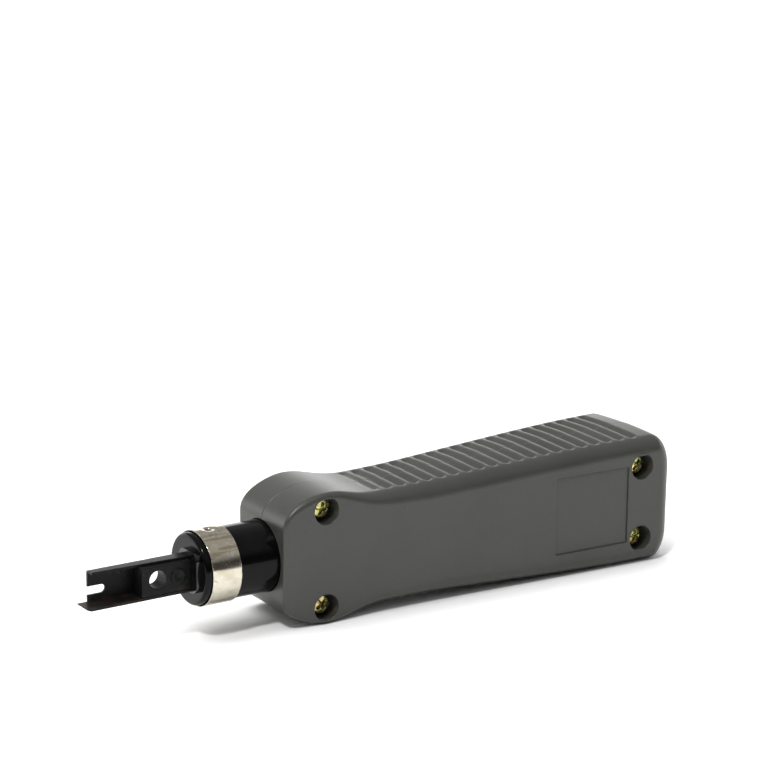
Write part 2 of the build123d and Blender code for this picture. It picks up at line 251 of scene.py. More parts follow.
# Gloss black with wipe marks along the axis
def barrelPlastic():
    board, spot, finish = begin("barrelPlastic")
    cloud = board.noise(spot, 0.3, 3.0)
    streak = board.noise(board.scaled(spot, (3.2, 0.35, 0.35)), 1.0, 3.0)
    base = board.blend(cloud.step(0.3, 0.7), *finish["base"])
    roughness = finish["roughness"] + (cloud - 0.5) * 0.10 + (streak - 0.5).absolute() * 0.25
    normal = board.bump(cloud + streak * 0.3, 0.00004, 0.25)
    board.paint(Base_Color=base, Roughness=roughness, Normal=normal)
    return board.paint(Specular_IOR_Level=finish["gloss"])


# Rolled strip: lines around it, warm dark patches that grow more common toward the top, brown
# streaks on the upper flank
def brushedNickel():
    board, spot, finish = begin("nickel")
    z = board.parts(spot)[2]
    lines = board.noise(board.scaled(spot, (9.0, 0.22, 0.22)), 1.0, 5.0, 0.65)
    patch = board.noise(board.scaled(spot, (0.35, 0.5, 0.5)), 1.0, 3.0)
    fine = board.noise(board.scaled(spot, (2.2, 1.1, 1.1)), 1.0, 5.0, 0.7)
    # Warm dark patches, more of them toward the top
    warmPatches = (fine * patch + z * 0.008).step(0.31, 0.40)
    base = board.blend(patch.step(0.35, 0.65), *finish["base"])
    base = board.blend(warmPatches * 0.6, base, finish["warmPatches"])
    streak = board.noise(board.scaled(spot, (0.10, 1.25, 1.25)), 1.0, 2.0)
    brown = streak.step(0.50, 0.60) * z.step(1.5, 4.0) * z.step(8.7, 7.9)
    base = board.blend(brown * 0.62, base, finish["brown"])
    scuff = (lines * 0.6 + fine * 0.4).step(0.55, 0.68)
    base = board.blend(scuff * 0.45, base, finish["scuff"])
    roughness = finish["roughness"] + (lines - 0.5).absolute() * 0.45 + warmPatches * 0.10
    normal = board.bump(lines * 0.7 + fine * 0.3, 0.00007, 0.35)
    board.paint(Base_Color=base, Roughness=roughness, Normal=normal)
    return board.paint(Metallic=1.0, Anisotropic=0.35)


# Oiled black, browner toward the cutter and rubbed in places
def blackOxide():
    board, spot, finish = begin("oxide")
    z = board.parts(spot)[2]
    fine = board.noise(spot, 2.6, 5.0, 0.65)
    cloud = board.noise(spot, 0.32, 2.0)
    cool = board.blend(fine.step(0.35, 0.65), *finish["cool"])
    warm = board.blend(fine.step(0.35, 0.65), *finish["warm"])
    base = board.blend((cloud + (z + 3.0) * -0.10).step(0.42, 0.72), cool, warm)
    base = board.blend((fine * cloud).step(0.30, 0.40) * 0.3, base, finish["rub"])
    roughness = finish["roughness"] + fine * 0.16
    board.paint(Base_Color=base, Roughness=roughness, Normal=board.bump(fine, 0.00006, 0.4))
    return board.paint(Metallic=0.2, Specular_IOR_Level=finish["gloss"])


# Chromated zinc that drifts from gold to green and red
def yellowZinc():
    board, spot, finish = begin("zinc")
    film = board.noise(spot, 0.9, 2.0)
    fine = board.noise(spot, 3.0, 3.0)
    base = board.blend(film.step(0.38, 0.55), finish["gold"], finish["green"])
    base = board.blend(film.step(0.56, 0.66), base, finish["red"])
    roughness = finish["roughness"] + fine * 0.16
    normal = board.bump(fine, 0.00004, 0.3)
    return board.paint(Base_Color=base, Metallic=1.0, Roughness=roughness, Normal=normal)


def groundSteel():
    board, spot, finish = begin("steel")
    lines = board.noise(board.scaled(spot, (0.5, 5.0, 5.0)), 1.0, 4.0)
    cloud = board.noise(spot, 0.3, 2.0)
    base = board.blend(cloud.step(0.35, 0.65), *finish["base"])
    roughness = finish["roughness"] + (lines - 0.5).absolute() * 0.4
    normal = board.bump(lines, 0.00004, 0.3)
    return board.paint(Base_Color=base, Metallic=1.0, Roughness=roughness, Normal=normal)


shellPlastic = housingPlastic()
blackPlastic = barrelPlastic()
socketPlastic = grainy("collarPlastic", Specular_IOR_Level=0.5)
rubber = grainy("rubber")
nickel = brushedNickel()
oxide = blackOxide()
zinc = yellowZinc()
steel = groundSteel()
wire = grainy("wire", Metallic=1.0)
print("materials made")


def unit(vectors):
    length = np.linalg.norm(vectors, axis=-1, keepdims=True)
    return vectors / np.maximum(length, 1e-12)


# Numbers and arrays side by side as points
def stacked(*parts):
    return np.stack(np.broadcast_arrays(*parts), axis=-1)


# Collects surfaces in millimetres; a side of -1 mirrors them to the near shell
class Patches:
    def __init__(self, side=1):
        self.flip = np.array([1, side, 1])
        self.points = []
        self.normals = []
        self.faces = []
        self.count = 0

    # A patch brings its own normals, and its faces are turned to agree with them
    def add(self, points, normals, faces):
        points = np.asarray(points, float).reshape(-1, 3) * self.flip
        normals = unit(np.asarray(normals, float).reshape(-1, 3) * self.flip)
        faces = np.asarray(faces, int)
        a, b, c = points[faces[:, 0]], points[faces[:, 1]], points[faces[:, 2]]
        wrong = np.sum(np.cross(b - a, c - a) * normals[faces].sum(1), axis=1) < 0
        faces = faces.copy()
        faces[wrong] = faces[wrong][:, ::-1]
        self.points.append(points)
        self.normals.append(normals)
        self.faces.extend((faces + self.count).tolist())
        self.count += len(points)

    # Vertices that meet are joined, while each corner keeps its own patch's normal
    def build(self, name, material):
        points = np.concatenate(self.points)
        normals = np.concatenate(self.normals)
        # The small shift keeps round numbers away from where the rounding changes
        spots = np.round(points + 0.00037, 3)
        _, first, joined = np.unique(spots, axis=0, return_index=True, return_inverse=True)
        joined = joined.ravel()
        faces, corners = [], []
        for face in self.faces:
            kept = []
            for k, corner in enumerate(face):
                if joined[corner] != joined[face[k - 1]]:
                    kept.append(corner)
            if len(kept) > 2:
                faces.append([int(joined[k]) for k in kept])
                corners.extend(kept)
        mesh = bpy.data.meshes.new(name)
        mesh.from_pydata((points[first] / 1000 + origin).tolist(), [], faces)
        mesh.polygons.foreach_set("use_smooth", [True] * len(mesh.polygons))
        mesh.normals_split_custom_set(normals[corners].tolist())
        return asPiece(name, mesh, material)


def asPiece(name, mesh, material):
    piece = bpy.data.objects.new(name, mesh)
    bpy.context.scene.collection.objects.link(piece)
    mesh.materials.append(material)
    return piece


def gridFaces(rows, columns, closed=False):
    count = rows if closed else rows - 1
    i, j = np.meshgrid(np.arange(count), np.arange(columns - 1), indexing="ij")
    after = (i + 1) % rows
    corners = [i * columns + j, after * columns + j, after * columns + j + 1, i * columns + j + 1]
    return stacked(*[c.ravel() for c in corners])


def gridNormals(grid, closed, outward):
    if closed:
        along = np.roll(grid, -1, 0) - np.roll(grid, 1, 0)
    else:
        along = np.gradient(grid, axis=0)
    normals = unit(np.cross(along, np.gradient(grid, axis=1)))
    flip = np.sum(normals * outward, axis=-1) < 0
    normals[flip] *= -1
    return normals


# A closed or open run of sections, smoothed below the given angle
def skin(name, grid, material, closed=True, sharp=35, caps=False):
    rows, columns = grid.shape[:2]
    faces = gridFaces(rows, columns, closed).tolist()
    if caps:
        faces.append([i * columns for i in range(rows)])
        faces.append([i * columns + columns - 1 for i in reversed(range(rows))])
    mesh = bpy.data.meshes.new(name)
    mesh.from_pydata((grid.reshape(-1, 3) / 1000 + origin).tolist(), [], faces)
    return smoothed(asPiece(name, mesh, material), sharp)


def smoothed(piece, sharp=35):
    mesh = piece.data
    mesh.update()
    mesh.polygons.foreach_set("use_smooth", [True] * len(mesh.polygons))
    mesh.set_sharp_from_angle(angle=math.radians(sharp))
    return piece


def fixNormals(piece):
    bpy.context.view_layer.objects.active = piece
    piece.select_set(True)
    bpy.ops.object.mode_set(mode="EDIT")
    bpy.ops.mesh.select_all(action="SELECT")
    bpy.ops.mesh.normals_make_consistent(inside=False)
    bpy.ops.object.mode_set(mode="OBJECT")
    piece.select_set(False)
    return piece


# Turns (depth, radius) pairs about the first of the given axes
def lathe(name, profile, material, turns=128, sharp=35, axes=(0, 1, 2), middle=(0, 0), caps=False):
    angle = np.linspace(0, 2 * math.pi, turns, endpoint=False)[:, None]
    depth, radius = np.array(profile, float).T
    grid = np.zeros((turns, len(depth), 3))
    grid[..., axes[0]] = depth
    grid[..., axes[1]] = middle[0] + radius * np.sin(angle)
    grid[..., axes[2]] = middle[1] + radius * np.cos(angle)
    return fixNormals(skin(name, grid, material, True, sharp, caps))


# Points of a quarter turn that rounds the given corner
def quarter(start, corner, end, steps=6):
    made = []
    for k in range(steps + 1):
        t = k / steps * math.pi / 2
        a, b = 1 - math.sin(t), 1 - math.cos(t)
        spot = [c + (s - c) * a + (e - c) * b for s, c, e in zip(start, corner, end)]
        made.append(tuple(spot))
    return made


# A closed polygon in two axes, drawn out along the third
def prism(name, polygon, axis, start, end, material):
    count = len(polygon)
    points = []
    for depth in (start, end):
        for a, b in polygon:
            spot = {0: (depth, a, b), 1: (a, depth, b), 2: (a, b, depth)}[axis]
            points.append(spot)
    faces = [list(range(count)), list(range(count, 2 * count))]
    for k in range(count):
        after = (k + 1) % count
        faces.append([k, after, count + after, count + k])
    mesh = bpy.data.meshes.new(name)
    mesh.from_pydata((np.array(points) / 1000 + origin).tolist(), [], faces)
    return fixNormals(asPiece(name, mesh, material))


def circle(a, b, radius, steps=64):
    turns = [2 * math.pi * k / steps for k in range(steps)]
    return [(a + radius * math.cos(t), b + radius * math.sin(t)) for t in turns]


def cutAway(piece, polygon, axis, start, end):
    tool = prism("cut", polygon, axis, start, end, piece.data.materials[0])
    bpy.context.view_layer.objects.active = piece
    cut = piece.modifiers.new("cut", "BOOLEAN")
    cut.operation = "DIFFERENCE"
    cut.solver = "EXACT"
    cut.object = tool
    bpy.ops.object.modifier_apply(modifier="cut")
    bpy.data.objects.remove(tool)


def soften(piece, width, segments=3, angle=32):
    bevel = piece.modifiers.new("soften", "BEVEL")
    bevel.width = width / 1000
    bevel.segments = segments
    bevel.limit_method = "ANGLE"
    bevel.angle_limit = math.radians(angle)
    bevel.harden_normals = True
    return smoothed(piece, 50)


def finishPiece(piece, body, slot, *nodes):
    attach(piece, body)
    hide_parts(*nodes)


housing = {
    "noseFlat": 8.2,
    "bulgeX": 12.0,
    "bulge": halfHeight,
    "waistX": 27.0,
    "waist": 13.2,
    "tailX": bodyLength - 11.2,
    "cornerX": 4.6,
    "cornerZ": 8.0,
    "noseHalf": 10.1,
    "slope": 0.04431,
    # Edge radius between side and broad face, as (X, radius)
    "edge": [
        (-1, 0.75),
        (1, 0.9),
        (4, 1.35),
        (7, 1.45),
        (10.9, 1.2),
        (16, 1.7),
        (26, 3.0),
        (38, 3.8),
        (110, 3.7),
    ],
    # Crown of the upper side at the parting line, as (X, height)
    "crown": [(-1, 0.0), (14, 0.0), (32, 0.42), (60, 0.55), (110, 0.6)],
    "grooveFirst": 25.6,
    "grooveLast": bodyLength - 9.6,
    "grooveFade": [0.35, 0.75, 1, 1, 0.9],  # first, second, most, last but one, last
    "grooveShape": 1.25,  # above 1 the crests are wider than the grooves
    "pitch": 3.6,
    "depth": 0.85,
    "margin": 3.0,
    "grooveEnd": 1.5,
    "endStretch": 1.05,
    "seam": 0.16,
    "seamWidth": 0.11,
    "rearInset": 0.11,
    "rearShift": 0.45,
    "frontZ": 9.7,
    "bore": 8.4,
    "boreRound": 0.25,
    "boreRows": [1.5, 4.0, 7.0],
    "holes": [(10.9, 11.4), (10.9, -11.4), (bodyLength - 9.2, 9.0), (bodyLength - 9.2, -9.0)],
    "holeRadius": 3.05,
    # Raised rim of each hole and of the recess, as (depth, distance in from its outer edge)
    "rim": [
        (0.0, 0.0),
        (-0.06, 0.06),
        (-0.085, 0.13),
        (-0.06, 0.20),
        (0.02, 0.26),
        (0.12, 0.29),
        (0.22, 0.30),
    ],
    "holeDepth": 4.2,
    "panel": (bodyLength - 33.7, bodyLength - 13.2, -9.3, 9.3),
    "panelDepth": 0.35,
    # Spacing of the mesh: along the outline, then across it from the parting line
    "gaps": {"flat": 0.8, "nose": 0.3, "bulge": 0.45, "ribs": 0.225, "tail": 0.35},
    "seamRows": [0, 0.03, 0.06, 0.10, 0.15, 0.21, 0.30, 0.45, 0.7],
    "straightRows": 30,
    "edgeRows": 12,
    "noseFill": 0.6,
}
faceLean = unit(np.array([-housing["slope"], 1.0, 0.0]))


def bezier(points, steps):
    t = np.linspace(0, 1, steps)[:, None]
    a, b, c, d = [np.array(p, float) for p in points]
    return a * (1 - t) ** 3 + 3 * b * t * (1 - t) ** 2 + 3 * c * t**2 * (1 - t) + d * t**3


# The upper half of the outline as a fine polyline in (X, Z), from the nose to the tail
def upperOutline():
    h = housing
    turn = np.linspace(0, math.pi / 2, 400)[:, None]
    rise = h["bulge"] - h["noseFlat"]
    corner = np.hstack([h["bulgeX"] * (1 - np.cos(turn)), h["noseFlat"] + rise * np.sin(turn)])
    run = h["waistX"] - h["bulgeX"]
    first = [(h["bulgeX"], h["bulge"]), (h["bulgeX"] + run * 0.33, h["bulge"])]
    first += [(h["waistX"] - run * 0.47, h["waist"]), (h["waistX"], h["waist"])]
    run = h["tailX"] - h["waistX"]
    second = [(h["waistX"], h["waist"]), (h["waistX"] + run * 0.26, h["waist"])]
    second += [(h["tailX"] - run * 0.30, h["bulge"]), (h["tailX"], h["bulge"])]
    a, b = h["cornerX"], h["cornerZ"]
    end = np.hstack([bodyLength - a + a * np.sin(turn), h["bulge"] - b + b * np.cos(turn)])
    nose = np.array([[0, z] for z in np.linspace(0, h["noseFlat"], 60)])
    tail = np.array([[bodyLength, z] for z in np.linspace(h["bulge"] - b, 0, 60)])
    pieces = [nose, corner, bezier(first, 400), bezier(second, 2000), end, tail]
    line = np.concatenate(pieces)
    keep = np.concatenate([[True], np.linalg.norm(np.diff(line, axis=0), axis=1) > 1e-6])
    return line[keep]


# Points round the whole outline with their outward normals, closer where detail needs it
def stations():
    h = housing
    line = upperOutline()
    length = np.concatenate([[0], np.cumsum(np.linalg.norm(np.diff(line, axis=0), axis=1))])
    slope = unit(np.gradient(line, length, axis=0))
    at = [0.0]
    while at[-1] < length[-1]:
        x = np.interp(at[-1], length, line[:, 0])
        z = np.interp(at[-1], length, line[:, 1])
        if x < 0.001 or z < h["bulge"] - h["cornerZ"]:
            part = "flat"
        elif x < h["bulgeX"]:
            part = "nose"
        elif x < h["grooveFirst"] - 3:
            part = "bulge"
        elif x < h["grooveLast"] + 2:
            part = "ribs"
        else:
            part = "tail"
        at.append(at[-1] + h["gaps"][part])
    at = np.array(at[:-1])
    at = at[at < length[-1] - 0.3]
    spots = stacked(*[np.interp(at, length, line[:, k]) for k in range(2)])
    lean = unit(stacked(*[np.interp(at, length, slope[:, k]) for k in range(2)]))
    outward = stacked(-lean[:, 1], lean[:, 0])
    turned = spots[1:][::-1] * [1, -1]
    back = outward[1:][::-1] * [1, -1]
    return np.concatenate([spots, turned]), np.concatenate([outward, back])


def faceY(x):
    return housing["noseHalf"] + housing["slope"] * x


def seamDip(y):
    return housing["seam"] * np.exp(-((y / housing["seamWidth"]) ** 2))


# Depth of the ribs' grooves, which run across the sides and fade out before the broad face
def grooveDip(x, y, shift):
    h = housing
    x = x - shift
    nearest = np.round((x - h["grooveFirst"]) / h["pitch"])
    last = round((h["grooveLast"] - h["grooveFirst"]) / h["pitch"])
    nearest = np.clip(nearest, 0, last)
    across = x - h["grooveFirst"] - nearest * h["pitch"]
    tip = faceY(x) - h["margin"] - h["grooveEnd"]
    reach = np.hypot(across, np.maximum(y - tip, 0) * h["endStretch"])
    wave = 0.5 + 0.5 * np.cos(np.minimum(reach / (h["pitch"] / 2), 1) * math.pi)
    fade = np.interp(nearest, [0, 1, 2, last - 1, last], h["grooveFade"])
    return h["depth"] * fade * wave ** h["grooveShape"]


# Depth of the nose plane at height z
def noseX(z):
    h = housing
    rise = h["bulge"] - h["noseFlat"]
    share = np.clip((np.abs(z) - h["noseFlat"]) / rise, 0, 0.999)
    return h["bulgeX"] * (1 - np.sqrt(1 - share**2))


def noseSlope(z):
    return (noseX(np.abs(z) + 0.01) - noseX(np.abs(z) - 0.01)) / 0.02 * np.sign(z)


def insideLoop(points, loop):
    x, z = points.T
    inside = np.zeros(len(points), bool)
    for a, b in zip(loop, np.roll(loop, -1, 0)):
        crosses = (a[1] > z) != (b[1] > z)
        run = a[0] + (z - a[1]) / (b[1] - a[1] + 1e-15) * (b[0] - a[0])
        inside ^= crosses & (x < run)
    return inside


# Triangles over closed loops of points plus loose inner points
def fillIn(loops, loose, wanted):
    points, edges = [], []
    for loop in loops:
        start = len(points)
        points.extend(loop)
        count = len(loop)
        edges.extend((start + k, start + (k + 1) % count) for k in range(count))
    points.extend(loose)
    flat = [Vector((float(a), float(b))) for a, b in points]
    made, _, faces, *_ = delaunay_2d_cdt(flat, edges, [], 0, 1e-7)
    made = np.array([tuple(p) for p in made])
    faces = np.array([f for f in faces if len(f) == 3])
    middle = made[faces].mean(1)
    return made, faces[wanted(middle)]


# Normals of a rim that starts flat on the broad face and ends square to it
def rimNormals(grid, profile):
    normals = gridNormals(grid, False, faceLean)
    normals[:, 0] = faceLean
    across = unit(grid[:, -1] - grid[:, -2])
    for j in range(len(profile)):
        if profile[j][0] > 0.2:
            flat = unit(np.cross(across, np.gradient(grid[:, j], axis=0)))
            flat[np.sum(flat * normals[:, 4], axis=1) < 0] *= -1
            normals[:, j] = flat
    return normals


# Both sides, nose corner and tail with the edge blend; the nose plane is left open
def addSides(patches, inset, shift):
    h = housing
    spots, outward = stations()
    count = len(spots)
    x, z = spots.T
    radius = np.interp(x, *np.array(h["edge"]).T)
    edgeY = faceY(x) - radius
    seam = h["seamRows"]
    heights = [np.full(count, y) for y in seam]
    for k in range(1, h["straightRows"] + 1):
        heights.append(seam[-1] + (edgeY - seam[-1]) * k / h["straightRows"])
    turn = np.linspace(0, math.pi / 2, h["edgeRows"] + 1)[1:]
    grid = np.zeros((count, len(heights) + len(turn), 3))
    lean = np.zeros_like(grid)
    for j, y in enumerate(heights):
        grid[:, j] = stacked(x, y, z)
        lean[:, j] = stacked(outward[:, 0], 0, outward[:, 1])
    for j, t in enumerate(turn, len(heights)):
        p = spots - outward * (radius * (1 - math.cos(t)))[:, None]
        y = faceY(p[:, 0]) - radius * (1 - math.sin(t))
        grid[:, j] = stacked(p[:, 0], y, p[:, 1])
        flat = outward * math.cos(t)
        lean[:, j] = stacked(flat[:, 0], math.sin(t), flat[:, 1])

    # Ribs, the parting line, the smaller rear shell and the crown of the upper side
    y = grid[..., 1]
    onSide = np.abs(outward[:, 1])[:, None] ** 2
    dip = grooveDip(grid[..., 0], y, shift) * onSide + seamDip(y)
    dip = dip + inset * np.clip(lean[..., 0] ** 2 + lean[..., 2] ** 2, 0, 1)
    high = np.clip((z + 8) / 16, 0, 1) * np.interp(x, *np.array(h["crown"]).T)
    rise = high[:, None] * (1 - np.clip(y / faceY(x)[:, None], 0, 1) ** 2)
    grid = grid + lean * (rise - dip)[..., None]
    normals = gridNormals(grid, True, lean)
    normals[:, -1] = faceLean

    onNose = (np.abs(z) <= h["frontZ"]) & (x < 1)
    last = len(heights) - 1
    faces = gridFaces(count, grid.shape[1], True)
    station, row = faces[:, 0] // grid.shape[1], faces[:, 0] % grid.shape[1]
    isNose = onNose[station] & onNose[(station + 1) % count] & (row < last)
    patches.add(grid, normals, faces[~isNose])
    top = max(k for k in np.where(onNose)[0] if z[k] > 0)
    bottom = min(k for k in np.where(onNose)[0] if z[k] < 0)
    return grid, top, bottom, last


# The nose plane between the bore and the edge, then the rim and wall of the bore
def addNose(patches, sides, inset):
    h = housing
    grid, top, bottom, last = sides
    order = list(range(bottom, len(grid))) + list(range(0, top + 1))
    edgeLine = grid[order, last]
    highSide = grid[top, : last + 1][::-1]
    outer = np.concatenate([grid[bottom, : last + 1], edgeLine[1:], highSide[1:]])[:, 1:]
    reach = h["bore"] + h["boreRound"]
    angles = np.linspace(0, math.pi, 65)
    hole = stacked(reach * np.sin(angles), reach * np.cos(angles))
    loop = np.concatenate([outer, hole])
    loose = []
    for v in h["seamRows"][1:]:
        for w in np.linspace(reach + 0.12, abs(highSide[-1, 2]) - 0.08, 9):
            loose += [(v, w), (v, -w)]
    for v in np.arange(2 * h["noseFill"], edgeLine[:, 1].min() - 0.3, h["noseFill"]):
        for w in np.arange(-h["frontZ"] + 0.4, h["frontZ"] - 0.3, h["noseFill"]):
            if math.hypot(v, w) > reach + 0.35:
                loose.append((v, w))
    made, faces = fillIn([loop], loose, lambda middle: insideLoop(middle, loop))
    v, w = made.T
    points = stacked(noseX(w) + inset + seamDip(v), v, w)
    dipSlope = (seamDip(v + 0.005) - seamDip(v)) / 0.005
    patches.add(points, stacked(-1.0, dipSlope, noseSlope(w)), faces)

    profile = quarter((0.0, reach), (0.0, h["bore"]), (h["boreRound"], h["bore"]), 6)
    profile += [(depth, h["bore"]) for depth in h["boreRows"]]
    rim = np.zeros((len(angles), len(profile), 3))
    lean = np.zeros_like(rim)
    for j, (depth, radius) in enumerate(profile):
        w = radius * np.cos(angles)
        share = max(0.0, 1 - depth / h["boreRound"])
        x = depth + (noseX(w) + inset) * share
        rim[:, j] = stacked(x, radius * np.sin(angles), w)
        out = stacked(0, -np.sin(angles), -np.cos(angles))
        lean[:, j] = out * (1 - share) + np.array([-1.0, 0, 0]) * share
    patches.add(rim, lean, gridFaces(len(angles), len(profile)))


# The broad face, open where the screw holes and the label recess are
def addFace(patches, outer, holes, panel):
    h = housing
    lip = h["rim"][-1][1]
    loops = [outer]
    loops += [circle(x, z, h["holeRadius"] + lip, 96) for x, z in holes]
    if panel:
        a, b, low, high = panel
        rect = [(a - lip, low - lip), (b + lip, low - lip)]
        rect += [(b + lip, high + lip), (a - lip, high + lip)]
        loops.append(rect)

    def onFace(middle):
        keep = insideLoop(middle, outer)
        for x, z in holes:
            away = np.hypot(middle[:, 0] - x, middle[:, 1] - z)
            keep &= away > h["holeRadius"] + lip * 0.98
        if panel:
            across = (middle[:, 0] > a - lip) & (middle[:, 0] < b + lip)
            keep &= ~(across & (middle[:, 1] > low - lip) & (middle[:, 1] < high + lip))
        return keep

    made, faces = fillIn(loops, [], onFace)
    x, z = made.T
    patches.add(stacked(x, faceY(x), z), np.tile(faceLean, (len(x), 1)), faces)


# Rim, wall and floor of one screw hole
def addHole(patches, holeX, holeZ):
    h = housing
    radius = h["holeRadius"]
    outer = radius + h["rim"][-1][1]
    turns = np.linspace(0, 2 * math.pi, 97)
    profile = [(depth, outer - inward) for depth, inward in h["rim"]]
    profile += [(1.0, radius), (2.5, radius), (h["holeDepth"], radius)]
    wall = np.zeros((len(turns), len(profile), 3))
    for j, (depth, radiusHere) in enumerate(profile):
        x = holeX + radiusHere * np.cos(turns)
        z = holeZ + radiusHere * np.sin(turns)
        wall[:, j] = stacked(x, faceY(x) - depth, z)
    patches.add(wall, rimNormals(wall, profile), gridFaces(len(turns), len(profile)))
    middle = [holeX, faceY(holeX) - h["holeDepth"], holeZ]
    floor = np.concatenate([wall[:-1, -1], [middle]])
    fan = [[k, (k + 1) % 96, 96] for k in range(96)]
    patches.add(floor, np.tile(faceLean, (97, 1)), fan)


# Rim and wall of the label recess, one side after another, then its floor
def addRecess(patches, panel):
    h = housing
    a, b, low, high = panel
    lip = h["rim"][-1][1]
    deep = h["panelDepth"]
    profile = h["rim"] + [(deep, lip)]
    corners = [(a, low), (b, low), (b, high), (a, high)]
    signs = [(-1, -1), (1, -1), (1, 1), (-1, 1)]
    for k in range(4):
        strip = np.zeros((2, len(profile), 3))
        for i, n in enumerate((k, (k + 1) % 4)):
            for j, (depth, inward) in enumerate(profile):
                x = corners[n][0] + signs[n][0] * (lip - inward)
                z = corners[n][1] + signs[n][1] * (lip - inward)
                strip[i, j] = (x, faceY(x) - depth, z)
        patches.add(strip, rimNormals(strip, profile), gridFaces(2, len(profile)))
    base = np.array([(x, faceY(x) - deep, z) for x, z in corners])
    patches.add(base, np.tile(faceLean, (4, 1)), [[0, 1, 2, 3]])


# One half of the grip: side -1 is the near one, with the holes and the recess
def shell(name, side):
    h = housing
    near = side < 0
    inset, shift = (0.0, 0.0) if near else (h["rearInset"], h["rearShift"])
    holes, panel = (h["holes"], h["panel"]) if near else ([], None)
    patches = Patches(side)
    sides = addSides(patches, inset, shift)
    addNose(patches, sides, inset)
    addFace(patches, sides[0][:, -1][:, [0, 2]], holes, panel)
    for x, z in holes:
        addHole(patches, x, z)
    if panel:
        addRecess(patches, panel)
    return patches.build(name, shellPlastic)


finishPiece(shell("frontShellSkin", -1), "housing", "housing_plastic", "front_shell")
finishPiece(shell("rearShellSkin", 1), "housing", "housing_plastic", "rear_shell")
print("housing made")


screws = {
    "headRadius": 2.5,
    "flatRadius": 2.0,
    "headHeight": 1.9,
    "crown": 0.22,
    "rimHeight": 0.9,
    "sink": 4.2,
    "shankRadius": 1.5,
    "tipRadius": 0.3,
    "tipLength": 1.2,
    "armHalf": 0.42,
    "armReach": 1.55,
    "armSlope": 0.14,
    "endSlope": 0.75,
    "recess": 1.0,
    "noseLength": 12.0,
    "tailLength": 16.0,
    "turns": [0.35, 0.9, 0.62, 0.2],
    "around": 145,
}


# A pan head with a cross recess; returns the height of its rim above the seat
def screwHead(patches, x, z, seat, turn, angles):
    s = screws
    flat = s["flatRadius"]
    rim = s["headRadius"] - flat
    edge = flat + rim * np.sin(np.linspace(0.05, 1.57, 10))
    r, a = np.meshgrid(np.concatenate([np.linspace(0, flat, 41), edge]), angles)
    crown = s["headHeight"] - s["crown"] * (r / flat) ** 2
    fall = np.clip((r - flat) / rim, 0, 1)
    height = crown - (1 - np.sqrt(1 - fall**2 * 0.9999)) * s["rimHeight"]
    u = r * np.cos(a + turn)
    v = r * np.sin(a + turn)
    taper = s["recess"] * np.clip((s["armReach"] - r) / s["endSlope"], 0, 1)
    armOne = np.clip((s["armHalf"] - np.abs(u)) / s["armSlope"], 0, 1)
    armTwo = np.clip((s["armHalf"] - np.abs(v)) / s["armSlope"], 0, 1)
    height = height - np.maximum(armOne, armTwo) * taper
    grid = stacked(x + r * np.cos(a), -(seat + height), z + r * np.sin(a))
    normals = gridNormals(grid, False, np.array([0, -1.0, 0]))
    patches.add(grid, normals, gridFaces(*r.shape))
    return height[0, -1]


# Straight-sided steps down from the head's rim to the tip, as (Y, radius)
def screwSteps(patches, x, z, profile, angles):
    count = len(angles)
    for start, end in zip(profile, profile[1:]):
        ring = np.zeros((count, 2, 3))
        for k, (y, r) in enumerate((start, end)):
            ring[:, k] = stacked(x + r * np.cos(angles), -y, z + r * np.sin(angles))
        drop, grow = start[0] - end[0], end[1] - start[1]
        out = stacked(np.cos(angles) * drop, -grow, np.sin(angles) * drop)
        if abs(drop) < 1e-6:
            out = np.tile([0, 1.0, 0], (count, 1))
        patches.add(ring, np.repeat(out[:, None], 2, 1), gridFaces(count, 2))


# Two screws with their axes along Y
def screwPair(name, places, length, turns):
    s = screws
    patches = Patches()
    angles = np.linspace(0, 2 * math.pi, s["around"])
    for (x, z), turn in zip(places, turns):
        seat = faceY(x) - s["sink"]
        rim = screwHead(patches, x, z, seat, turn, angles)
        steps = [(seat + rim, s["headRadius"]), (seat, s["headRadius"])]
        steps += [(seat, s["shankRadius"]), (seat - length + s["tipLength"], s["shankRadius"])]
        steps += [(seat - length, s["tipRadius"])]
        screwSteps(patches, x, z, steps, angles)
    return patches.build(name, zinc)


places, turns = housing["holes"], screws["turns"]
nose = screwPair("noseScrewHeads", places[:2], screws["noseLength"], turns[:2])
tail = screwPair("tailScrewHeads", places[2:], screws["tailLength"], turns[2:])
finishPiece(nose, "housing", "yellow_zinc", "nose_screws")
finishPiece(tail, "housing", "yellow_zinc", "tail_screws")
print("screws made")


barrel = {
    "front": local("barrel")[0][0],
    "radius": 8.3,
    "lip": 0.8,
    "flat": 0.4,
    "mouth": 6.42,
    "mouthDepth": 1.2,
    "seat": 7.4,
    "seatMargin": 0.8,
    "rows": [-6.0, 0.0],
    "rear": 6.0,
    "rearRound": 0.5,
    "neck": 5.45,
    "chamfer": 0.3,
    "bore": 3.1,
    "boreEnd": 2.5,
    "end": local("barrel")[1][0],
}
band = {
    "front": local("detent_band")[0][0],
    "rear": local("detent_band")[1][0],
    "inner": 8.32,
    "outer": 8.72,
    "edge": 0.12,
    "slit": 1.2,
    "dimple": 1.35,
    "dimpleDeep": 0.32,
    "hole": 0.82,
    "holeDeep": 0.75,
    "wobble": 0.012,
    "nicks": 9,
    "nickDeep": 0.10,
    "nickWide": 0.18,
    "nickLong": 0.22,
}


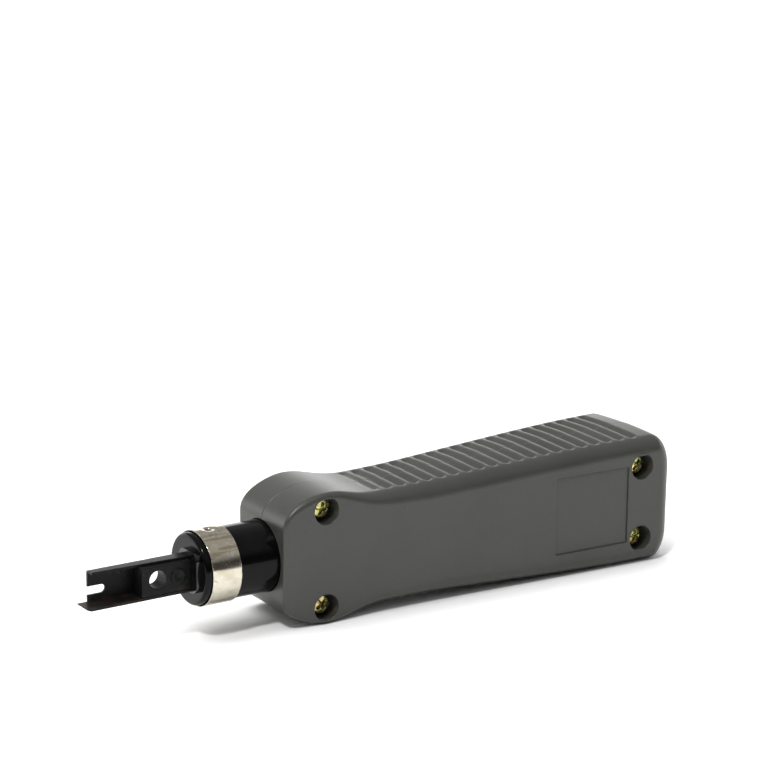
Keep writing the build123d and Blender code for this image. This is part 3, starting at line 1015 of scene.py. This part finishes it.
# Turned about X, with a shallow groove under the band so that its dimple has room
def makeBarrel():
    b = barrel
    front, radius, lip = b["front"], b["radius"], b["lip"]
    grooveFront, grooveRear = band["front"] + b["seatMargin"], band["rear"] - b["seatMargin"]
    profile = [(front + b["mouthDepth"], b["mouth"]), (front, b["mouth"])]
    profile += [(front, radius - lip - b["flat"])]
    profile += quarter((front, radius - lip), (front, radius), (front + lip, radius), 10)
    profile += [(grooveFront, radius), (grooveFront, b["seat"])]
    profile += [(grooveRear, b["seat"]), (grooveRear, radius)]
    profile += [(x, radius) for x in b["rows"]]
    rear, turn = b["rear"], b["rearRound"]
    profile += quarter((rear - turn, radius), (rear, radius), (rear, radius - turn), 4)
    profile += [(rear, b["neck"]), (b["end"] - b["chamfer"], b["neck"])]
    profile += [(b["end"], b["neck"] - b["chamfer"]), (b["end"], b["bore"])]
    profile += [(b["boreEnd"], b["bore"])]
    return lathe("barrelTurned", profile, blackPlastic, 160, 40)


# Outer skin, both rolled edges and the inside as one closed section of (X, radius)
def bandSection():
    b = band
    front, rear, inner, outer, edge = b["front"], b["rear"], b["inner"], b["outer"], b["edge"]
    middle = (front + rear) / 2
    across = [np.linspace(front + 0.3, middle - 2, 10)]
    across += [np.linspace(middle - 1.9, middle + 1.9, 45)]  # fine over the dimple
    across += [np.linspace(middle + 2, rear - 0.3, 10)]
    across = np.concatenate(across)
    section = quarter((front, outer - edge), (front, outer), (front + edge, outer), 4)
    section += [(x, outer) for x in across]
    section += quarter((rear - edge, outer), (rear, outer), (rear, outer - edge), 4)
    section += [(rear, inner)]
    section += [(x, inner) for x in across[::-1]]
    section += [(front, inner)]
    return np.array(section + section[:1])


# Angles run from the top, 2 pi, to the slit underneath
def makeBand():
    b = band
    rand = random.Random(4)
    inner, outer = b["inner"], b["outer"]
    middle = (b["front"] + b["rear"]) / 2
    top = 2 * math.pi
    half = math.asin(b["slit"] / 2 / outer)
    around = np.linspace(math.pi + half, 3 * math.pi - half, 241)
    angles = np.unique(np.concatenate([around, np.linspace(top - 0.24, top + 0.24, 61)]))
    section = bandSection()
    x = np.tile(section[:, 0], (len(angles), 1))
    r = np.tile(section[:, 1], (len(angles), 1))
    a = angles[:, None]
    raised = r > (inner + outer) / 2
    wobble = 0
    for k in (3, 7, 12):
        phase = rand.uniform(0, 6)
        wobble = wobble + b["wobble"] * np.sin(a * k + phase + x * rand.uniform(0.2, 0.8))
    away = np.hypot(x - middle, (a - top) * outer)
    press = b["dimpleDeep"] * np.exp(-((away / b["dimple"]) ** 4))
    press = press + b["holeDeep"] * np.exp(-((away / b["hole"]) ** 10))
    nick = np.zeros_like(r)
    for _ in range(b["nicks"]):
        where = rand.uniform(3.6, 9.0)
        wide = np.exp(-(((a - where) * outer / b["nickWide"]) ** 2))
        long = np.exp(-(((x - b["rear"]) / b["nickLong"]) ** 2))
        nick = nick + b["nickDeep"] * wide * long
    below = -np.maximum(press - b["dimpleDeep"] + 0.02, 0)
    r = r + np.where(raised, wobble - press, below)
    grid = stacked(x - nick, r * np.sin(a), r * np.cos(a))
    return fixNormals(skin("detentBandRolled", grid, nickel, False, 40, True))


pin = {
    "low": local("detent_pin")[0],
    "high": local("detent_pin")[1],
    "radius": 0.95,
    "foot": 0.45,
    "top": 7.35,
    "topRound": 0.2,
    "around": 48,
}


# The pin's rounded end stays below the hole in the band's dimple
def makePin():
    p = pin
    low, top, radius, turn = p["low"][2], p["top"], p["radius"], p["topRound"]
    profile = quarter((low, radius - p["foot"]), (low, radius), (low + p["foot"], radius), 4)
    profile += quarter((top - turn, radius), (top, radius), (top, radius - turn), 4)
    middle = (0, (p["low"][0] + p["high"][0]) / 2)
    return lathe("detentPinDomed", profile, nickel, p["around"], 40, (2, 1, 0), middle, True)


collar = {
    "width": 8.0,
    "height": 9.6,
    "y": -2.0,
    "z": 0.5,
    "corner": 2.2,
    "thick": 1.2,
    "sunk": 0.3,
    "opening": [(-3.1, -3.6), (1.4, -3.6), (1.4, 3.4), (-3.1, 3.4)],
    "edge": 0.38,
    "sleeveInner": 4.9,
    "sleeveLength": 14.9,
}


# The plate round the blade, and the sleeve behind it in the barrel's mouth
def makeCollar():
    c = collar
    front = barrel["front"]
    y0, y1 = c["y"] - c["width"] / 2, c["y"] + c["width"] / 2
    z0, z1 = c["z"] - c["height"] / 2, c["z"] + c["height"] / 2
    r = c["corner"]
    outline = quarter((y1, z1 - r), (y1, z1), (y1 - r, z1), 8)
    outline += quarter((y0 + r, z1), (y0, z1), (y0, z1 - r), 8)
    outline += quarter((y0, z0 + r), (y0, z0), (y0 + r, z0), 8)
    outline += quarter((y1 - r, z0), (y1, z0), (y1, z0 + r), 8)
    first, last = front - c["thick"], front + c["sunk"]
    plate = prism("bladeSocketCollar", outline, 0, first, last, socketPlastic)
    cutAway(plate, c["opening"], 0, front - 3, front + 9)
    return soften(plate, c["edge"], 5)


def makeSleeve():
    inner, outer = collar["sleeveInner"], barrel["mouth"]
    front, rear = barrel["front"], barrel["front"] + collar["sleeveLength"]
    section = [(front, inner), (front, outer), (rear, outer), (rear, inner)]
    return lathe("bladeSocketSleeve", section, blackPlastic, 160)


finishPiece(makeBarrel(), "plunger", "barrel_plastic", "barrel")
finishPiece(makeBand(), "plunger", "nickel", "detent_band")
finishPiece(makePin(), "plunger", "nickel", "detent_pin")
finishPiece(makeCollar(), "plunger", "barrel_plastic", "blade_socket")
sleeve = makeSleeve()
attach(sleeve, "plunger")
print("barrel made")


blade = {
    "tip": local("blade_sheet")[0][0],
    "rear": local("blade_sheet")[1][0],
    "prong": -43.2,
    "sheet": 0.6,
    "bendOutside": 0.9,
    "bendInside": 0.3,
    "webY": 1.3,
    "webTop": 3.9,
    "flangeZ": -3.5,
    "flangeY": -3.1,
    "lipTip": 2.1,
    "lipBase": 3.1,
    "slotWidth": 2.0,
    "slotDeep": 4.3,
    "slotZ": -0.94,
    "bevel": 1.0,
    "bevelEdge": 0.15,
    "eye": (-28.05, 0.1, 2.1),
    "eyeRelief": 0.7,
    "rivet": (-23.05, 0.1, 1.1),
    "rivetHead": 1.9,
    "rivetRise": 0.35,
    "rivetSunk": 0.22,
    "rivetAround": 64,
    "shankFront": -32.1,
    "shankBack": -8.0,
    "shankY": -3.0,
    "shankLow": -3.5,
    "shankHigh": 3.3,
    "sheetEdge": 0.09,
    "shankEdge": 0.16,
}


# The pressed sheet seen along X: lip on top, web, then the flange that carries the cutter
def bladeSection():
    b = blade
    inY, outY = b["webY"], b["webY"] + b["sheet"]
    lipY = b["webY"] - b["lipBase"]
    low, flange = b["flangeZ"] - b["sheet"], b["flangeZ"]
    high, under = b["webTop"], b["webTop"] - b["sheet"]
    out, turn = b["bendOutside"], b["bendInside"]
    line = [(lipY, high)]
    line += quarter((outY - out, high), (outY, high), (outY, high - out), 8)
    line += quarter((outY, low + out), (outY, low), (outY - out, low), 8)
    line += [(b["flangeY"], low), (b["flangeY"], flange)]
    line += quarter((inY - turn, flange), (inY, flange), (inY, flange + turn), 4)
    line += quarter((inY, under - turn), (inY, under), (inY - turn, under), 4)
    line += [(lipY, under)]
    return line


# Cut to the prong, the tapered lip, the cutter's bevel, the prong's slot and the eye
def makeSheet():
    b = blade
    tip, prong, rear, flange = b["tip"], b["prong"], b["rear"] + 0.01, b["flangeZ"]
    sheet = prism("bladeSheetPressed", bladeSection(), 0, tip, b["rear"], oxide)
    y0, y1 = b["webY"] - 8, b["webY"] + 4

    notch = [(tip - 1, flange), (prong, flange), (prong, 9), (tip - 1, 9)]
    cutAway(sheet, notch, 1, y0, y1)

    lipTip, lipBase = b["webY"] - b["lipTip"], b["webY"] - b["lipBase"]
    taper = [(prong - 1, lipTip), (rear, lipBase), (rear, -9), (prong - 1, -9)]
    cutAway(sheet, taper, 2, b["webTop"] - 1.6, b["webTop"] + 1)

    low, edge = flange - b["sheet"], flange - b["bevelEdge"]
    bevel = [(tip - 0.01, edge), (tip + b["bevel"], low), (tip + 1, low - 2)]
    bevel += [(tip - 2, low - 2), (tip - 2, edge)]
    cutAway(sheet, bevel, 1, y0, y1)

    half = b["slotWidth"] / 2
    end = prong + b["slotDeep"] - half
    slot = [(prong - 2, b["slotZ"] + half)]
    for t in np.linspace(0, math.pi, 25):
        slot.append((end + half * math.sin(t), b["slotZ"] + half * math.cos(t)))
    slot.append((prong - 2, b["slotZ"] - half))
    cutAway(sheet, slot, 1, y0, y1)

    x, z, r = b["eye"]
    cutAway(sheet, circle(x, z, r + b["eyeRelief"]), 1, y0, y1)
    return soften(sheet, b["sheetEdge"], 3)


def makeShank():
    b = blade
    front, back, low, high = b["shankFront"], b["shankBack"], b["shankLow"] + 0.01, b["shankHigh"]
    block = [(front, low), (back, low), (back, high), (front, high)]
    shank = prism("bladeShankBlock", block, 1, b["shankY"], b["webY"] - 0.01, oxide)
    x, z, r = b["eye"]
    cutAway(shank, circle(x, z, r), 1, -9, 4)
    return soften(shank, b["shankEdge"], 3)


# Both heads of the rivet, turned about Y, the near one slightly hollow
def makeRivet():
    b = blade
    x, z, r = b["rivet"]
    face, head = b["shankY"], b["rivetHead"]
    high, sunk = face - b["rivetRise"], face - b["rivetSunk"]
    profile = [(sunk, 0.001), (sunk, 0.7), (high, 0.95), (high, 1.5)]
    profile += quarter((high, 1.55), (high, head), (face - 0.02, head), 6)
    profile += [(face + 0.02, r), (b["webY"] + b["sheet"], r)]
    return lathe("bladeRivetHead", profile, oxide, b["rivetAround"], 40, (1, 2, 0), (z, x), True)


finishPiece(makeSheet(), "blade", "black_oxide", "blade_sheet")
finishPiece(makeShank(), "blade", "black_oxide", "blade_shank")
finishPiece(makeRivet(), "blade", "black_oxide", "blade_rivet")
print("blade made")


inside = {
    "bumper": rubber,
    "spring_seat": steel,
    "trip_ramp": steel,
    "push_rod": steel,
    "rod_pin": steel,
    "retaining_ring": wire,
    "return_spring": wire,
    "hammer": steel,
    "main_spring": wire,
    "trip_plate": steel,
    "trip_spring": wire,
}
for node, material in inside.items():
    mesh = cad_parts[node].data
    mesh.materials.clear()
    mesh.materials.append(material)
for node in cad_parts:
    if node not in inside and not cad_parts[node].hide_render:
        print("left as CAD:", node)


studio = {
    "floor": 12.0,
    "floorColor": (0.92, 0.92, 0.92),
    "sweep": 2.35,
    "shade": 0.08,
    "ceiling": 0.45,
    "azimuth": -33.503,
    "elevation": 14.997,
    "roll": 0.524,
    "lens": 126.49,
    "camera": (-0.32740, -0.49773, 0.21078),
    "sun": {"spot": (-0.20, 0.32, 1.0), "strength": 2.95, "spread": 50},
    "key": {"spot": (-0.40, -0.32, 0.92), "size": 0.12, "power": 5.5},
}


def makeFloor():
    half = studio["floor"] / 2
    mesh = bpy.data.meshes.new("floor")
    corners = [(-half, -half, 0), (half, -half, 0), (half, half, 0), (-half, half, 0)]
    mesh.from_pydata(corners, [], [(0, 1, 2, 3)])
    paint = Board("floor").paint(Base_Color=studio["floorColor"], Roughness=0.9)
    asPiece("floor", mesh, paint)


def placeLight(name, data, spot):
    light = bpy.data.objects.new(name, data)
    light.location = spot
    light.rotation_euler = (-Vector(spot)).to_track_quat("-Z", "Y").to_euler()
    bpy.context.scene.collection.objects.link(light)
    return light


# A small square lamp for the highlights
def makeKey():
    key = studio["key"]
    data = bpy.data.lights.new("key", "AREA")
    data.shape = "RECTANGLE"
    data.size = key["size"]
    data.size_y = key["size"]
    data.energy = key["power"]
    placeLight("key", data, key["spot"])


# Even light for floor and body that shows in no reflection
def makeSun():
    sun = studio["sun"]
    data = bpy.data.lights.new("daylight", "SUN")
    data.energy = sun["strength"]
    data.angle = math.radians(sun["spread"])
    placeLight("daylight", data, sun["spot"]).visible_glossy = False


# Bright sweep low behind the tool, a dim ceiling and a dark studio on the camera's side
def makeSky():
    world = bpy.data.worlds.new("studio")
    bpy.context.scene.world = world
    world.use_nodes = True
    board = Board("studio", world.node_tree)
    x, y, z = board.parts(board.node("ShaderNodeTexCoord", out=0))
    behind = (x * 0.3 + y * 0.95).step(-0.1, 0.35)
    low = z.step(0.44, 0.20)
    ceiling = z.step(0.30, 0.62)
    glow = studio["shade"] + behind * low * (studio["sweep"] - studio["shade"])
    strength = glow + ceiling * studio["ceiling"]
    shade = world.node_tree.nodes["Background"]
    board.feed(shade.inputs[0], (1, 1, 1, 1))
    board.feed(shade.inputs[1], strength)


def makeCamera():
    a = math.radians(studio["azimuth"])
    e = math.radians(studio["elevation"])
    roll = math.radians(studio["roll"])
    back = Vector((math.sin(a) * math.cos(e), -math.cos(a) * math.cos(e), math.sin(e)))
    right = Vector((math.cos(a), math.sin(a), 0))
    up = back.cross(right)
    rightTurned = right * math.cos(roll) + up * math.sin(roll)
    upTurned = up * math.cos(roll) - right * math.sin(roll)
    data = bpy.data.cameras.new("camera")
    data.lens = studio["lens"]
    data.sensor_width = 36
    data.clip_start, data.clip_end = 0.02, 50
    camera = bpy.data.objects.new("camera", data)
    turn = Matrix((rightTurned, upTurned, back)).transposed().to_4x4()
    camera.matrix_world = Matrix.Translation(Vector(studio["camera"])) @ turn
    bpy.context.scene.collection.objects.link(camera)
    bpy.context.scene.camera = camera


makeFloor()
makeSky()
makeSun()
makeKey()
makeCamera()
bpy.context.scene.view_settings.view_transform = "Standard"
bpy.context.scene.view_settings.look = "None"
